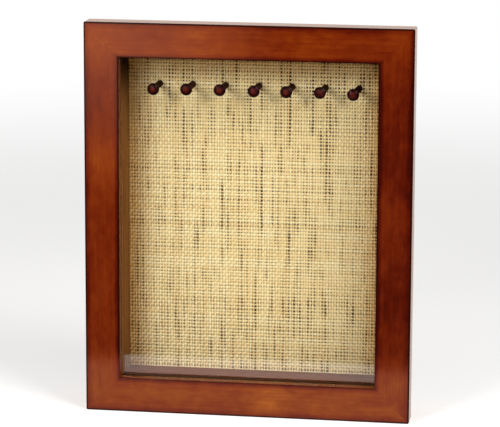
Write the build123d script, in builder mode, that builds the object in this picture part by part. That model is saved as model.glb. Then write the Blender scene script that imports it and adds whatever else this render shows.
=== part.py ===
"""Glazed display case: a hinged mitred front frame on a shallow box, with a peg row before a cloth.

Millimetres, +Z up, +X to the right and -Y to the front as someone looks at the case.
The origin is the middle of the bounding box, at the bottom.
"""

import os
from math import cos, radians, sin

from build123d import *

# ---- Front frame (the door) ----
front_width = 305.0
front_height = 368.0
front_thickness = 22.0
rail_width = 32.5
corner_radius = 1.5
outer_arris = 1.2
inner_arris = 0.8
lip_depth = 11.0
rebate_width = 6.0
glass_thickness = 2.0
glass_edge_clearance = 0.5
bead_recess = 0.5
bead_arris = 0.6

# ---- Case behind the door ----
door_gap = 1.2
overhang = 8.0
board_thickness = 16.0
corner_lap = 8.0
board_arris = 0.8
liner_depth = 27.1
cloth_thickness = 1.6
peg_board_thickness = 6.0
back_panel_thickness = 3.0
back_recess = 0.8
panel_rebate_width = 5.0
fit_clearance = 0.4

# ---- Pegs ----
peg_left_margin = 29.6
peg_right_margin = 23.2
peg_drop = 30.4
peg_shank_radius = 3.1
peg_head_radius = 5.6
peg_glass_clearance = 2.1
peg_dome_height = 2.4
peg_rim_depth = 0.9
peg_flare_depth = 2.6
tenon_end_gap = 0.5
peg_hole_clearance = 0.05
cloth_hole_clearance = 0.3
# Each peg was set by hand and leans a little: degrees towards +X, degrees towards +Z.
peg_leans = [(-0.5, -1.0), (-1.0, 0.0), (-1.0, 0.3), (0.0, -0.2), (-2.0, 0.0), (-2.0, 0.3), (-3.0, -1.5)]

# ---- Hinges ----
hinge_length = 38.0
hinge_end_distance = 55.0
leaf_thickness = 1.0
leaf_width = 11.0
leaf_gap = 0.3
barrel_radius = 2.2
barrel_side_gap = 0.3
barrel_clearance = 0.35
knuckle_count = 5
knuckle_gap = 0.2
hinge_pin_radius = 1.0
hinge_pin_clearance = 0.05
hinge_pin_cap = 0.8
leaf_screw_inset = 4.2
leaf_screw_spacing = 24.0

# ---- Catches, pads, feet and hangers ----
magnet_radius = 4.0
magnet_length = 10.0
magnet_proud = 0.3
strike_radius = 6.0
strike_thickness = 1.0
strike_recess = 0.5
catch_end_distance = 70.0
buffer_radius = 4.0
buffer_air = 0.3
buffer_end_distance = 30.0
wall_pad_radius = 4.5
wall_pad_thickness = 3.0
wall_pad_inset = 14.0
foot_top_radius = 7.0
foot_base_radius = 6.0
foot_bore_clearance = 0.3
foot_head_depth = 3.0
foot_side_inset = 36.0
foot_back_inset = 9.0
hanger_length = 48.0
hanger_height = 9.0
hanger_thickness = 0.8
hanger_wall_clearance = 0.6
hanger_end_length = 9.0
hanger_tooth_pitch = 4.0
hanger_tooth_depth = 1.8
hanger_side_distance = 72.0

# ---- Fasteners: shank radius, head radius, head depth, length ----
fastener_clearance = 0.05
leaf_screw = (1.1, 2.2, 0.9, 12.0)
strike_screw = (1.1, 2.2, 0.9, 12.0)
foot_screw = (1.6, 3.2, 1.4, 16.0)
hanger_pin = (0.8, 1.8, 0.4, 13.0)
panel_pin = (0.6, 1.4, 0.4, 14.0)
bead_pin = (0.5, 0.9, 0.5, 14.0)
lap_pin = (0.8, 1.4, 0.8, 26.0)
slot_width = 0.5
slot_depth = 0.45
slot_overrun = 0.1
v_nail_leg = 5.0
v_nail_thickness = 0.6
v_nail_depth = 8.0
v_nail_inset = 13.0
bead_pin_end_distance = 35.0
# Where nails sit, as shares of the board that they go through.
lap_pin_shares = (0.18, 0.5, 0.82)
panel_pin_side_shares = (-0.4, -0.13, 0.13, 0.4)
panel_pin_end_shares = (-0.33, 0.0, 0.33)

# ---- Planes along the depth, from the front face to the wall ----
total_depth = (
    front_thickness + door_gap + liner_depth + cloth_thickness + peg_board_thickness
    + back_panel_thickness + back_recess + wall_pad_thickness
)
front_y = -total_depth / 2
glass_front_y = front_y + lip_depth
glass_back_y = glass_front_y + glass_thickness
door_back_y = front_y + front_thickness
case_front_y = door_back_y + door_gap
cloth_front_y = case_front_y + liner_depth
board_front_y = cloth_front_y + cloth_thickness
panel_front_y = board_front_y + peg_board_thickness
panel_back_y = panel_front_y + back_panel_thickness
case_back_y = panel_back_y + back_recess
case_depth = case_back_y - case_front_y
peg_length = cloth_front_y - glass_back_y - peg_glass_clearance
hanger_rise = wall_pad_thickness - hanger_thickness - hanger_wall_clearance

# ---- Sizes across and up ----
mid_z = front_height / 2
sight_width = front_width - 2 * rail_width
sight_height = front_height - 2 * rail_width
rebate_opening = (sight_width + 2 * rebate_width, sight_height + 2 * rebate_width)
case_width = front_width - 2 * overhang
case_height = front_height - 2 * overhang
inner_width = case_width - 2 * board_thickness
inner_height = case_height - 2 * board_thickness
liner_thickness = (inner_width - sight_width) / 2
edge_width = board_thickness - panel_rebate_width
edge_x = case_width / 2 - edge_width / 2
case_low_z = overhang
case_high_z = front_height - overhang
sight_low_z = rail_width
sight_high_z = front_height - rail_width
SIDES = ("left", "right", "top", "bottom")


def facing_front(y):
    """A plane across the depth whose extrusions grow towards the front, with local Y up."""
    return Plane(origin=(0, y, 0), x_dir=(1, 0, 0), z_dir=(0, -1, 0))


def ring_side(side, width, height, band):
    """One mitred side of an upright ring of that outer size, centred on the door, as (x, z) corners."""
    x, top, bottom = width / 2, mid_z + height / 2, mid_z - height / 2
    return {
        "left": [(-x, bottom), (-x, top), (-x + band, top - band), (-x + band, bottom + band)],
        "right": [(x, bottom), (x, top), (x - band, top - band), (x - band, bottom + band)],
        "top": [(-x, top), (x, top), (x - band, top - band), (-x + band, top - band)],
        "bottom": [(-x, bottom), (x, bottom), (x - band, bottom + band), (-x + band, bottom + band)],
    }[side]


def long_edges(edges, side):
    """The edges that run along a side of the frame."""
    return edges.filter_by(Axis.X if side in ("top", "bottom") else Axis.Z)


def add_box(low, high, mode=Mode.ADD):
    """A box between two corners, in the part that is open."""
    size = [b - a for a, b in zip(low, high)]
    middle = [(a + b) / 2 for a, b in zip(low, high)]
    with Locations(Location(tuple(middle))):
        Box(*size, mode=mode)


def bore(origin, direction, radius, depth, mode=Mode.SUBTRACT):
    """A round hole, or with Mode.ADD a round bar, from a point along a direction."""
    with BuildSketch(Plane(origin=origin, z_dir=direction)) as end:
        Circle(radius)
    extrude(end.sketch, amount=depth, mode=mode)


def pilot_holes(places, fastener):
    """Holes for fasteners whose heads lie flush at each place."""
    shank, head, head_depth, length = fastener
    for origin, direction in places:
        bore(origin, direction, shank + fastener_clearance, length + fastener_clearance)
        bore(origin, direction, head + fastener_clearance, head_depth + fastener_clearance)


def fasteners(places, fastener, slotted):
    """One fastener at each place: a flat head that lies flush, and a shank along the direction."""
    shank, head, head_depth, length = fastener
    for origin, direction in places:
        bore(origin, direction, head, head_depth, Mode.ADD)
        bore(origin, direction, shank, length, Mode.ADD)
        if slotted:
            with BuildSketch(Plane(origin=origin, z_dir=direction)) as slot:
                Rectangle(2 * head * (1 + slot_overrun), slot_width)
            extrude(slot.sketch, amount=slot_depth, mode=Mode.SUBTRACT)


def save(builder, name):
    """Label a finished sub-part and write it."""
    builder.part.label = name
    export_step(builder.part, f"parts/{name}.step")


os.makedirs("parts", exist_ok=True)

# ---- Places that several pieces share ----
pivot_x = -case_width / 2 - barrel_side_gap - barrel_radius
pivot_y = door_back_y + door_gap / 2
leaf_recess = leaf_thickness + leaf_gap / 2 - door_gap / 2
leaf_screw_x = pivot_x + leaf_width - leaf_screw_inset
hinge_heights = {
    "upper": front_height - hinge_end_distance - hinge_length / 2,
    "lower": hinge_end_distance + hinge_length / 2,
}
case_leaf_face_y = pivot_y + leaf_gap / 2
door_leaf_face_y = pivot_y - leaf_gap / 2
leaf_screw_heights = [
    z + offset for z in hinge_heights.values() for offset in (-leaf_screw_spacing / 2, leaf_screw_spacing / 2)
]
case_leaf_screws = [((leaf_screw_x, case_leaf_face_y, z), (0, 1, 0)) for z in leaf_screw_heights]
door_leaf_screws = [((leaf_screw_x, door_leaf_face_y, z), (0, -1, 0)) for z in leaf_screw_heights]

catch_x = case_width / 2 - board_thickness / 2
catch_heights = (catch_end_distance, front_height - catch_end_distance)
strike_face_y = door_back_y + strike_thickness - strike_recess
strike_screws = [((catch_x, strike_face_y, z), (0, -1, 0)) for z in catch_heights]

foot_y = case_back_y - foot_back_inset
foot_xs = (-case_width / 2 + foot_side_inset, case_width / 2 - foot_side_inset)
foot_screws = [((x, foot_y, foot_head_depth), (0, 0, 1)) for x in foot_xs]

hanger_z = case_high_z - edge_width / 2
hanger_xs = {"left": -hanger_side_distance, "right": hanger_side_distance}
hanger_pin_offset = hanger_length / 2 - hanger_end_length / 2
hanger_pins = [
    ((x + offset, case_back_y + hanger_thickness, hanger_z), (0, -1, 0))
    for x in hanger_xs.values()
    for offset in (-hanger_pin_offset, hanger_pin_offset)
]

panel_size = (
    inner_width + 2 * panel_rebate_width - 2 * fit_clearance,
    inner_height + 2 * panel_rebate_width - 2 * fit_clearance,
)
panel_pin_x = inner_width / 2 + panel_rebate_width / 2
panel_pin_dz = inner_height / 2 + panel_rebate_width / 2
panel_pins = [
    ((sx * panel_pin_x, panel_back_y, mid_z + share * inner_height), (0, -1, 0))
    for sx in (-1, 1)
    for share in panel_pin_side_shares
] + [
    ((share * inner_width, panel_back_y, mid_z + sz * panel_pin_dz), (0, -1, 0))
    for sz in (-1, 1)
    for share in panel_pin_end_shares
]

bead_back_y = door_back_y - bead_recess
bead_pin_y = (glass_back_y + bead_back_y) / 2
bead_pins = {
    "left": [
        ((-sight_width / 2, bead_pin_y, z), (-1, 0, 0))
        for z in (sight_low_z + bead_pin_end_distance, mid_z, sight_high_z - bead_pin_end_distance)
    ],
    "right": [
        ((sight_width / 2, bead_pin_y, z), (1, 0, 0))
        for z in (sight_low_z + bead_pin_end_distance, mid_z, sight_high_z - bead_pin_end_distance)
    ],
    "top": [
        ((sx * (sight_width / 2 - bead_pin_end_distance), bead_pin_y, sight_high_z), (0, 0, 1))
        for sx in (-1, 1)
    ],
    "bottom": [
        ((sx * (sight_width / 2 - bead_pin_end_distance), bead_pin_y, sight_low_z), (0, 0, -1))
        for sx in (-1, 1)
    ],
}

lap_pins = {
    side: [
        ((sx * case_width / 2, case_front_y + share * case_depth, z), (-sx, 0, 0))
        for share in lap_pin_shares
        for z in (case_low_z + board_thickness / 2, case_high_z - board_thickness / 2)
    ]
    for side, sx in (("left", -1), ("right", 1))
}

v_nail_corners = [(sx, sz) for sx in (-1, 1) for sz in (-1, 1)]


def v_nails(mode):
    """The V-shaped nails across the mitres, driven in from the back of the door."""
    for sx, sz in v_nail_corners:
        x = sx * (front_width / 2 - v_nail_inset)
        z = mid_z + sz * (front_height / 2 - v_nail_inset)
        t = v_nail_thickness / 2
        with BuildSketch(facing_front(door_back_y)) as nail:
            with BuildLine():
                Polyline(
                    (x + sx * t, z + sz * t),
                    (x + sx * t, z - sz * v_nail_leg),
                    (x - sx * t, z - sz * v_nail_leg),
                    (x - sx * t, z - sz * t),
                    (x - sx * v_nail_leg, z - sz * t),
                    (x - sx * v_nail_leg, z + sz * t),
                    close=True,
                )
            make_face()
        extrude(nail.sketch, amount=v_nail_depth, mode=mode)


# ---- Door: four mitred rails with a rebate for the glass ----
RAIL_NAMES = {"left": "door_left_stile", "right": "door_right_stile",
              "top": "door_top_rail", "bottom": "door_bottom_rail"}
for side in SIDES:
    with BuildPart() as rail:
        with BuildSketch(facing_front(door_back_y)):
            with BuildLine():
                Polyline(*ring_side(side, front_width, front_height, rail_width), close=True)
            make_face()
            with Locations((0, mid_z)):
                RectangleRounded(front_width, front_height, corner_radius, mode=Mode.INTERSECT)
        extrude(amount=front_thickness)
        outward = {"left": Axis((0, 0, 0), (-1, 0, 0)), "right": Axis.X,
                   "top": Axis.Z, "bottom": Axis((0, 0, 0), (0, 0, -1))}[side]
        front_edges = long_edges(rail.edges().group_by(Axis.Y)[0], side).sort_by(outward)
        fillet(front_edges[-1], radius=outer_arris)
        front_edges = long_edges(rail.edges().group_by(Axis.Y)[0], side).sort_by(outward)
        fillet(front_edges[0], radius=inner_arris)
        with BuildSketch(facing_front(door_back_y)):
            with Locations((0, mid_z)):
                Rectangle(*rebate_opening)
        extrude(amount=front_thickness - lip_depth, mode=Mode.SUBTRACT)
        v_nails(Mode.SUBTRACT)
        pilot_holes(bead_pins[side], bead_pin)
        if side == "left":
            for z in hinge_heights.values():
                add_box(
                    (pivot_x, door_back_y - leaf_recess, z - hinge_length / 2 - fit_clearance),
                    (pivot_x + leaf_width + fit_clearance, door_back_y, z + hinge_length / 2 + fit_clearance),
                    Mode.SUBTRACT,
                )
                groove_length = hinge_length + 2 * (hinge_pin_cap + fit_clearance)
                bore((pivot_x, pivot_y, z - groove_length / 2), (0, 0, 1),
                     barrel_radius + barrel_clearance, groove_length)
            pilot_holes(door_leaf_screws, leaf_screw)
        if side == "right":
            for z in catch_heights:
                bore((catch_x, door_back_y, z), (0, -1, 0), strike_radius + fastener_clearance, strike_recess)
            pilot_holes(strike_screws, strike_screw)
    save(rail, RAIL_NAMES[side])

with BuildPart() as corner_v_nails:
    v_nails(Mode.ADD)
save(corner_v_nails, "corner_v_nails")

with BuildPart() as glass_pane:
    with BuildSketch(facing_front(glass_back_y)):
        with Locations((0, mid_z)):
            Rectangle(rebate_opening[0] - 2 * glass_edge_clearance, rebate_opening[1] - 2 * glass_edge_clearance)
    extrude(amount=glass_thickness)
save(glass_pane, "glass_pane")

for side in SIDES:
    with BuildPart() as bead:
        with BuildSketch(facing_front(bead_back_y)):
            with BuildLine():
                Polyline(*ring_side(side, *rebate_opening, rebate_width), close=True)
            make_face()
        extrude(amount=bead_back_y - glass_back_y)
        inward = {"left": Axis.X, "right": Axis((0, 0, 0), (-1, 0, 0)),
                  "top": Axis((0, 0, 0), (0, 0, -1)), "bottom": Axis.Z}[side]
        back_edges = long_edges(bead.edges().group_by(Axis.Y)[-1], side).sort_by(inward)
        chamfer(back_edges[-1], length=bead_arris)
        pilot_holes(bead_pins[side], bead_pin)
    save(bead, f"glazing_bead_{side}")

with BuildPart() as bead_pins_part:
    for side in SIDES:
        fasteners(bead_pins[side], bead_pin, slotted=False)
save(bead_pins_part, "glazing_bead_pins")

# ---- Case: four boards, lapped at the corners, with a rebate for the back panel ----
BOARD_NAMES = {"left": "case_left_side", "right": "case_right_side", "top": "case_top", "bottom": "case_bottom"}
side_inner_x = case_width / 2 - board_thickness
lap_x = case_width / 2 - (board_thickness - corner_lap)
for side in SIDES:
    with BuildPart() as board:
        if side in ("left", "right"):
            sx = -1 if side == "left" else 1
            outer, inner, lap = sx * case_width / 2, sx * side_inner_x, sx * lap_x
            add_box(
                (min(outer, inner), case_front_y, case_low_z),
                (max(outer, inner), case_back_y, case_high_z),
            )
            for low, high in (
                (case_low_z, case_low_z + board_thickness),
                (case_high_z - board_thickness, case_high_z),
            ):
                add_box(
                    (min(lap, inner), case_front_y, low), (max(lap, inner), case_back_y, high), Mode.SUBTRACT
                )
            outer_face = board.faces().filter_by(Axis.X).sort_by(Axis.X)[0 if side == "left" else -1]
            outer_edges = outer_face.edges().sort_by(Axis.Y)[1:]
            end_edges = board.edges().filter_by(Axis.X).group_by(Axis.Y)[-1].sort_by(Axis.Z)
            fillet([*outer_edges, end_edges[0], end_edges[-1]], radius=board_arris)
            pilot_holes(lap_pins[side], lap_pin)
        else:
            low = case_low_z if side == "bottom" else case_high_z - board_thickness
            add_box((-lap_x, case_front_y, low), (lap_x, case_back_y, low + board_thickness))
            back_edges = board.edges().filter_by(Axis.X).group_by(Axis.Y)[-1].sort_by(Axis.Z)
            fillet(back_edges[0 if side == "bottom" else -1], radius=board_arris)
            pilot_holes(lap_pins["left"] + lap_pins["right"], lap_pin)
        with BuildSketch(facing_front(case_back_y)):
            with Locations((0, mid_z)):
                Rectangle(inner_width + 2 * panel_rebate_width, inner_height + 2 * panel_rebate_width)
        extrude(amount=back_panel_thickness + back_recess, mode=Mode.SUBTRACT)
        pilot_holes(panel_pins, panel_pin)
        if side == "left":
            for z in hinge_heights.values():
                add_box(
                    (pivot_x, case_front_y, z - hinge_length / 2 - fit_clearance),
                    (pivot_x + leaf_width + fit_clearance, case_front_y + leaf_recess,
                     z + hinge_length / 2 + fit_clearance),
                    Mode.SUBTRACT,
                )
            pilot_holes(case_leaf_screws, leaf_screw)
        if side == "right":
            for z in catch_heights:
                bore((catch_x, case_front_y, z), (0, 1, 0), magnet_radius + fastener_clearance,
                     magnet_length - magnet_proud)
        if side == "top":
            pilot_holes(hanger_pins, hanger_pin)
        if side == "bottom":
            pilot_holes(foot_screws, foot_screw)
    save(board, BOARD_NAMES[side])

with BuildPart() as lap_pins_part:
    fasteners(lap_pins["left"] + lap_pins["right"], lap_pin, slotted=False)
save(lap_pins_part, "case_corner_pins")

# ---- Liners: thin boards that bring the inside of the case flush with the sight edge ----
for side in SIDES:
    with BuildPart() as liner:
        x_in, x_out = sight_width / 2, inner_width / 2
        z_in, z_out = sight_height / 2, inner_height / 2
        low, high = {
            "left": ((-x_out, mid_z - z_in), (-x_in, mid_z + z_in)),
            "right": ((x_in, mid_z - z_in), (x_out, mid_z + z_in)),
            "top": ((-x_out, mid_z + z_in), (x_out, mid_z + z_out)),
            "bottom": ((-x_out, mid_z - z_out), (x_out, mid_z - z_in)),
        }[side]
        add_box((low[0], case_front_y, low[1]), (high[0], cloth_front_y, high[1]))
    save(liner, f"liner_{side}")

# ---- Pegs, and the board and cloth that they stand in ----
peg_count = len(peg_leans)
peg_pitch = (sight_width - peg_left_margin - peg_right_margin) / (peg_count - 1)
peg_row_z = sight_high_z - peg_drop
tenon_length = cloth_thickness + peg_board_thickness - tenon_end_gap


def peg_axis(number):
    """A peg's root on the face of the cloth, and the way that it points."""
    lean_x, lean_z = (radians(angle) for angle in peg_leans[number])
    root = Vector(-sight_width / 2 + peg_left_margin + number * peg_pitch, cloth_front_y, peg_row_z)
    return root, Vector(sin(lean_x), -cos(lean_x) * cos(lean_z), sin(lean_z)).normalized()


def peg_holes(clearance):
    """A leaning hole for the tenon of each peg."""
    for number in range(peg_count):
        root, direction = peg_axis(number)
        start = root + direction * peg_shank_radius
        bore(start, -direction, peg_shank_radius + clearance, peg_shank_radius + tenon_length + clearance)


for number in range(peg_count):
    root, direction = peg_axis(number)
    across = direction.cross(Vector(0, 0, 1)).normalized()
    neck = peg_length - peg_dome_height - peg_rim_depth - peg_flare_depth
    rim_back = peg_length - peg_dome_height - peg_rim_depth
    rim_front = peg_length - peg_dome_height
    with BuildPart() as peg:
        with BuildSketch(Plane(origin=root, x_dir=across, z_dir=across.cross(direction))):
            with BuildLine():
                Polyline((0, peg_length), (0, -tenon_length), (peg_shank_radius, -tenon_length),
                         (peg_shank_radius, neck))
                TangentArc((peg_shank_radius, neck), (peg_head_radius, rim_back), tangent=(0, 1))
                Line((peg_head_radius, rim_back), (peg_head_radius, rim_front))
                TangentArc((0, peg_length), (peg_head_radius, rim_front), tangent=(1, 0))
            make_face()
        revolve(axis=Axis(root, direction))
    save(peg, f"peg_{number + 1}")

with BuildPart() as woven_cloth:
    with BuildSketch(facing_front(board_front_y)):
        with Locations((0, mid_z)):
            Rectangle(inner_width - 2 * fit_clearance, inner_height - 2 * fit_clearance)
    extrude(amount=cloth_thickness)
    peg_holes(cloth_hole_clearance)
save(woven_cloth, "woven_cloth")

with BuildPart() as peg_board:
    with BuildSketch(facing_front(panel_front_y)):
        with Locations((0, mid_z)):
            Rectangle(inner_width - 2 * fit_clearance, inner_height - 2 * fit_clearance)
    extrude(amount=peg_board_thickness)
    peg_holes(peg_hole_clearance)
save(peg_board, "peg_board")

with BuildPart() as back_panel:
    with BuildSketch(facing_front(panel_back_y)):
        with Locations((0, mid_z)):
            Rectangle(*panel_size)
    extrude(amount=back_panel_thickness)
    pilot_holes(panel_pins, panel_pin)
save(back_panel, "back_panel")

with BuildPart() as panel_pins_part:
    fasteners(panel_pins, panel_pin, slotted=False)
save(panel_pins_part, "back_panel_pins")

# ---- Hinges: two brass butt hinges let into the left stile and the left side ----
for place, z in hinge_heights.items():
    bottom, top = z - hinge_length / 2, z + hinge_length / 2
    knuckle = hinge_length / knuckle_count
    for leaf, first in (("case", 0), ("door", 1)):
        back, front = (
            (case_leaf_face_y + leaf_thickness, case_leaf_face_y) if leaf == "case"
            else (door_leaf_face_y, door_leaf_face_y - leaf_thickness)
        )
        with BuildPart() as hinge_leaf:
            add_box((pivot_x, front, bottom), (pivot_x + leaf_width, back, top))
            for index in range(knuckle_count):
                low = bottom + index * knuckle
                if index % 2 == first:
                    bore((pivot_x, pivot_y, low), (0, 0, 1), barrel_radius, knuckle, Mode.ADD)
            for index in range(knuckle_count):
                low = bottom + index * knuckle
                if index % 2 != first:
                    below = knuckle_gap if index > 0 else 0
                    above = knuckle_gap if index < knuckle_count - 1 else 0
                    bore((pivot_x, pivot_y, low - below), (0, 0, 1), barrel_radius + barrel_clearance,
                         knuckle + below + above)
            bore((pivot_x, pivot_y, bottom), (0, 0, 1), hinge_pin_radius + hinge_pin_clearance, hinge_length)
            pilot_holes(case_leaf_screws if leaf == "case" else door_leaf_screws, leaf_screw)
        save(hinge_leaf, f"hinge_{place}_{leaf}_leaf")
    with BuildPart() as hinge_pin:
        bore((pivot_x, pivot_y, bottom - hinge_pin_cap), (0, 0, 1), hinge_pin_radius,
             hinge_length + 2 * hinge_pin_cap, Mode.ADD)
        for low in (bottom - hinge_pin_cap, top):
            bore((pivot_x, pivot_y, low), (0, 0, 1), barrel_radius, hinge_pin_cap, Mode.ADD)
    save(hinge_pin, f"hinge_{place}_pin")

with BuildPart() as hinge_case_screws:
    fasteners(case_leaf_screws, leaf_screw, slotted=True)
save(hinge_case_screws, "hinge_case_screws")

with BuildPart() as hinge_door_screws:
    fasteners(door_leaf_screws, leaf_screw, slotted=True)
save(hinge_door_screws, "hinge_door_screws")

# ---- Magnetic catches at the right, and the buffers that the door closes on ----
with BuildPart() as catch_magnets:
    for z in catch_heights:
        bore((catch_x, case_front_y - magnet_proud, z), (0, 1, 0), magnet_radius, magnet_length, Mode.ADD)
save(catch_magnets, "catch_magnets")

with BuildPart() as strike_plates:
    for z in catch_heights:
        bore((catch_x, door_back_y - strike_recess, z), (0, 1, 0), strike_radius, strike_thickness, Mode.ADD)
    pilot_holes(strike_screws, strike_screw)
save(strike_plates, "strike_plates")

with BuildPart() as strike_screws_part:
    fasteners(strike_screws, strike_screw, slotted=True)
save(strike_screws_part, "strike_screws")

with BuildPart() as door_buffers:
    for z in (buffer_end_distance, front_height - buffer_end_distance):
        bore((catch_x, case_front_y, z), (0, -1, 0), buffer_radius, door_gap - buffer_air, Mode.ADD)
save(door_buffers, "door_buffers")

# ---- Hangers and pads on the back, and feet under the back edge ----
for place, x in hanger_xs.items():
    half, end = hanger_length / 2, hanger_length / 2 - hanger_end_length
    plate_y, raised_y = case_back_y, case_back_y + hanger_rise
    with BuildPart() as hanger:
        with BuildSketch(Plane.XY.offset(hanger_z - hanger_height / 2)):
            with BuildLine():
                Polyline(
                    (x - half, plate_y), (x - end, plate_y), (x - end + hanger_rise, raised_y),
                    (x + end - hanger_rise, raised_y), (x + end, plate_y), (x + half, plate_y),
                    (x + half, plate_y + hanger_thickness), (x + end, plate_y + hanger_thickness),
                    (x + end - hanger_rise, raised_y + hanger_thickness),
                    (x - end + hanger_rise, raised_y + hanger_thickness),
                    (x - end, plate_y + hanger_thickness), (x - half, plate_y + hanger_thickness),
                    close=True,
                )
            make_face()
        extrude(amount=hanger_height)
        tooth_count = int((2 * end - 2 * hanger_rise) // hanger_tooth_pitch)
        with BuildSketch(facing_front(raised_y + hanger_thickness)):
            with Locations((x, hanger_z - hanger_height / 2)):
                with GridLocations(hanger_tooth_pitch, 1, tooth_count, 1):
                    Polygon((-hanger_tooth_pitch / 2, 0), (hanger_tooth_pitch / 2, 0),
                            (0, hanger_tooth_depth), align=None)
        extrude(amount=hanger_thickness, mode=Mode.SUBTRACT)
        pilot_holes(hanger_pins, hanger_pin)
    save(hanger, f"hanger_{place}")

with BuildPart() as hanger_pins_part:
    fasteners(hanger_pins, hanger_pin, slotted=False)
save(hanger_pins_part, "hanger_pins")

with BuildPart() as wall_pads:
    for x in (-edge_x, edge_x):
        for z in (case_low_z + wall_pad_inset, case_high_z - wall_pad_inset):
            bore((x, case_back_y, z), (0, 1, 0), wall_pad_radius, wall_pad_thickness, Mode.ADD)
save(wall_pads, "wall_pads")

with BuildPart() as rear_feet:
    for x in foot_xs:
        with BuildSketch(Plane(origin=(x, foot_y, 0))):
            Circle(foot_base_radius)
        with BuildSketch(Plane(origin=(x, foot_y, overhang))):
            Circle(foot_top_radius)
        loft()
        bore((x, foot_y, 0), (0, 0, 1), foot_screw[0] + foot_bore_clearance, overhang)
        bore((x, foot_y, 0), (0, 0, 1), foot_screw[1] + foot_bore_clearance, foot_head_depth + foot_screw[2])
save(rear_feet, "rear_feet")

with BuildPart() as foot_screws_part:
    fasteners(foot_screws, foot_screw, slotted=True)
save(foot_screws_part, "foot_screws")

print(f"depth {total_depth:.2f}, sight {sight_width} x {sight_height}, peg pitch {peg_pitch:.2f}")
print(f"pivot ({pivot_x:.3f}, {pivot_y:.3f}), liner {liner_thickness:.2f}, front_y {front_y:.3f}")
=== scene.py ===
# A shallow glazed display case: a red-brown mitred door frame, a pane set back in it, and seven turned
# pegs that stand out of an open straw-coloured cloth. Metres, +Z up, the front faces -Y.
import math
import random

import bmesh
import bpy
from mathutils import Matrix, Vector, noise


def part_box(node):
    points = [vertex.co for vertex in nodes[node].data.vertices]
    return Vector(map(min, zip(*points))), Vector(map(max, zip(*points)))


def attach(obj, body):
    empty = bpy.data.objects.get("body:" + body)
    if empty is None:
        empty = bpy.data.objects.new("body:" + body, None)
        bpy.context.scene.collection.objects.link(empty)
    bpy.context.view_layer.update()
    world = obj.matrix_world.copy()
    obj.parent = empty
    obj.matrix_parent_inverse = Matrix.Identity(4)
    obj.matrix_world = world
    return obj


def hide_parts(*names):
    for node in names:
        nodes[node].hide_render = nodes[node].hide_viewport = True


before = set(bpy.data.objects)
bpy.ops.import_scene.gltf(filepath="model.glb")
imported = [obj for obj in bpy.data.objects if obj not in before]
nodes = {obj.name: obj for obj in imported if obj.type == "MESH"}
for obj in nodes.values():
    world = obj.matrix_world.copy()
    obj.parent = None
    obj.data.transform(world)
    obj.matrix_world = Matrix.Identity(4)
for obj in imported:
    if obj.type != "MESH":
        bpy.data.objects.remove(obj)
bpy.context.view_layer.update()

MM = 0.001
draw = random.Random(7)


# ---- Sizes read from the frame ----
door_low = Vector(map(min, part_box("door_left_stile")[0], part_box("door_bottom_rail")[0]))
door_high = Vector(map(max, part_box("door_right_stile")[1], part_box("door_top_rail")[1]))
half_width = door_high.x
half_height = (door_high.z - door_low.z) / 2
middle_z = (door_high.z + door_low.z) / 2
rail_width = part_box("door_left_stile")[1].x - door_low.x
cloth_low, cloth_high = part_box("woven_cloth")
pane_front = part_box("glass_pane")[0].y
peg_names = [f"peg_{number}" for number in range(1, 8)]
peg_length = cloth_low.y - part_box(peg_names[0])[0].y


# ---- Camera ----
CAMERA_PLACE = (0.360, -2.3913, 0.6730)
CAMERA_TURN = 8.608
CAMERA_TILT = -11.352
CAMERA_ROLL = 0.265
CAMERA_LENS = 190.36
SENSOR_WIDTH = 36.0
FARTHEST_SEEN = 60.0

camera_data = bpy.data.cameras.new("camera")
camera_data.lens = CAMERA_LENS
camera_data.sensor_width = SENSOR_WIDTH
camera_data.clip_end = FARTHEST_SEEN
camera = bpy.data.objects.new("camera", camera_data)
camera.matrix_world = (
    Matrix.Translation(CAMERA_PLACE)
    @ Matrix.Rotation(math.radians(CAMERA_TURN), 4, "Z")
    @ Matrix.Rotation(math.radians(90 + CAMERA_TILT), 4, "X")
    @ Matrix.Rotation(math.radians(CAMERA_ROLL), 4, "Z")
)
bpy.context.scene.collection.objects.link(camera)
bpy.context.scene.camera = camera
bpy.context.scene.view_settings.view_transform = "Standard"


# ---- Helpers for materials ----
# The setting of a range that eases in and out at its ends, and that of a mix of two colours. The inputs and
# the output of such a mix go by number, because their names are shared with those of other kinds of mix.
EASED = {"interpolation_type": "SMOOTHSTEP"}
COLOURS = {"data_type": "RGBA"}
SHARE, UNDER, OVER, MIXED = 0, 6, 7, 2


def linear(code):
    """A linear colour with alpha from an sRGB hex value."""
    channels = [int(code[start:start + 2], 16) / 255 for start in (1, 3, 5)]
    return tuple(c / 12.92 if c <= 0.04045 else ((c + 0.055) / 1.055) ** 2.4 for c in channels) + (1.0,)


def add(tree, kind, inputs=(), stops=(), **settings):
    """A node with its settings and links. Each input is a value, a socket, or a node that gives its first
    output. A list of inputs is in the node's own order, and stops are a colour ramp's."""
    node = tree.nodes.new("ShaderNode" + kind)
    for name, value in settings.items():
        setattr(node, name, value)
    for key, value in inputs.items() if isinstance(inputs, dict) else enumerate(inputs):
        if isinstance(value, bpy.types.Node):
            value = value.outputs[0]
        if isinstance(value, bpy.types.NodeSocket):
            tree.links.new(value, node.inputs[key])
        else:
            node.inputs[key].default_value = value
    for number, (place, code) in enumerate(stops):
        elements = node.color_ramp.elements
        element = elements[number] if number < 2 else elements.new(place)
        element.position = place
        element.color = linear(code)
    return node


def new_material(name):
    """An empty node material with its output, as (material, tree, output)."""
    material = bpy.data.materials.new(name)
    material.use_nodes = True
    tree = material.node_tree
    tree.nodes.clear()
    return material, tree, add(tree, "OutputMaterial")


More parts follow.
